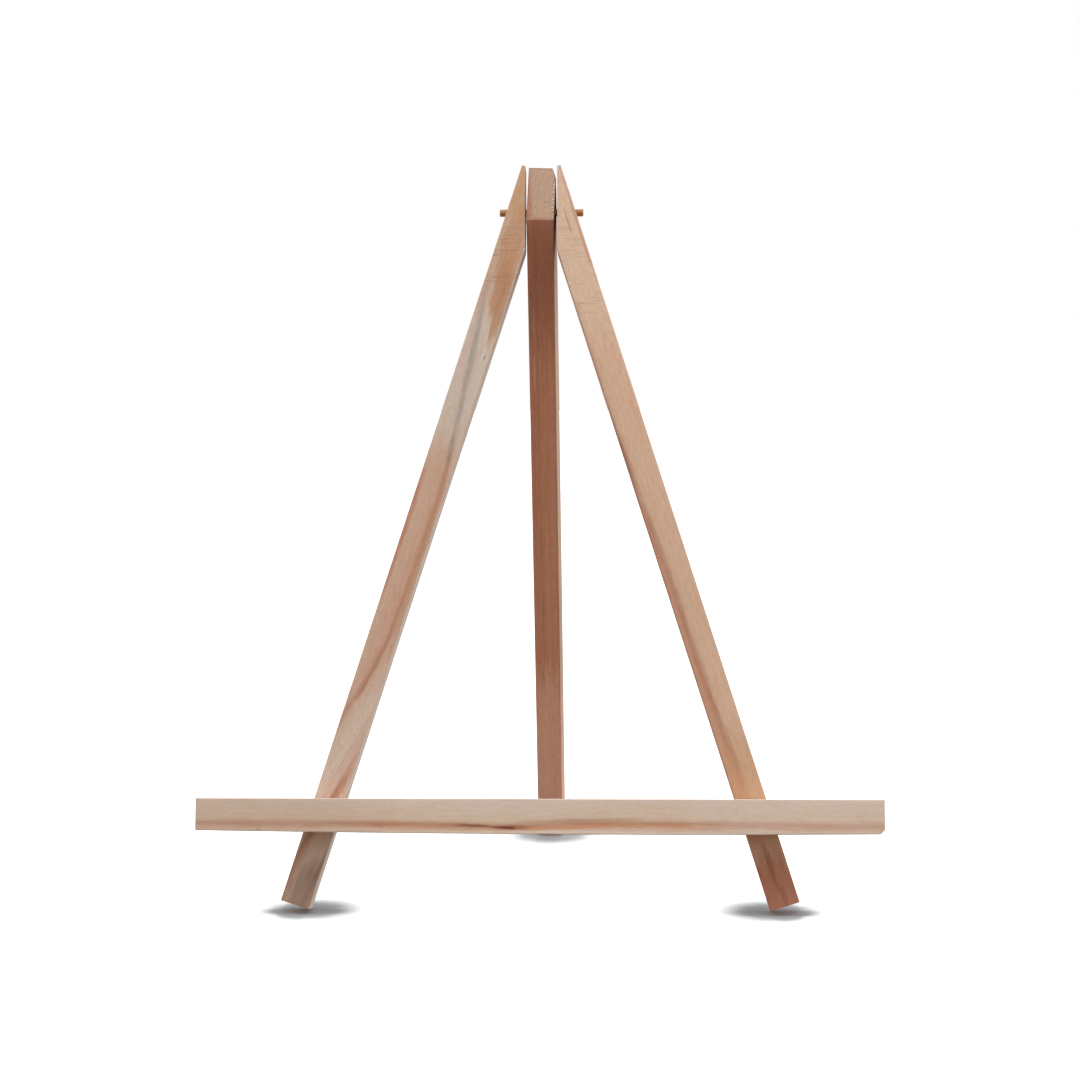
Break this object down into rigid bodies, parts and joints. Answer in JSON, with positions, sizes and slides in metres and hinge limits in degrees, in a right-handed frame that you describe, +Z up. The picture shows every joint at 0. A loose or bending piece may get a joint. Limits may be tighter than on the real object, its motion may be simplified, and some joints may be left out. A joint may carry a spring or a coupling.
{
  "type": "tabletop easel",
  "caption": "Folding wooden tabletop easel: two splayed front legs, a wide ledge for the picture and a rear leg that swings on a round pivot dowel.",
  "frame": {"origin": "on the table, under the middle of the easel's bounding box", "axes": "+Z up, -Y out of the picture side, +X to the right of someone facing the picture"},
  "size_m": [0.27, 0.178, 0.2967],
  "materials": {
    "pine": "planed and unvarnished, pale with orange grain streaks",
    "red_pine": "planed and unvarnished, red-brown heartwood with a pale sapwood side",
    "dowel_wood": "turned, orange-brown",
    "nail_steel": "bright drawn wire"
  },
  "bodies": {
    "front_frame": {"left_leg": "pine", "right_leg": "pine", "ledge": "pine", "pivot_dowel": "dowel_wood", "ledge_brads": "nail_steel"},
    "rear_leg": {"rear_leg": "red_pine"}
  },
  "joints": [
    {"name": "rear_leg_hinge", "type": "hinge", "parent": "front_frame", "child": "rear_leg", "pos_m": [0, -0.02565, 0.27741], "axis": [1, 0, 0], "range_deg": [-31.5, 57.5]}
  ]
}
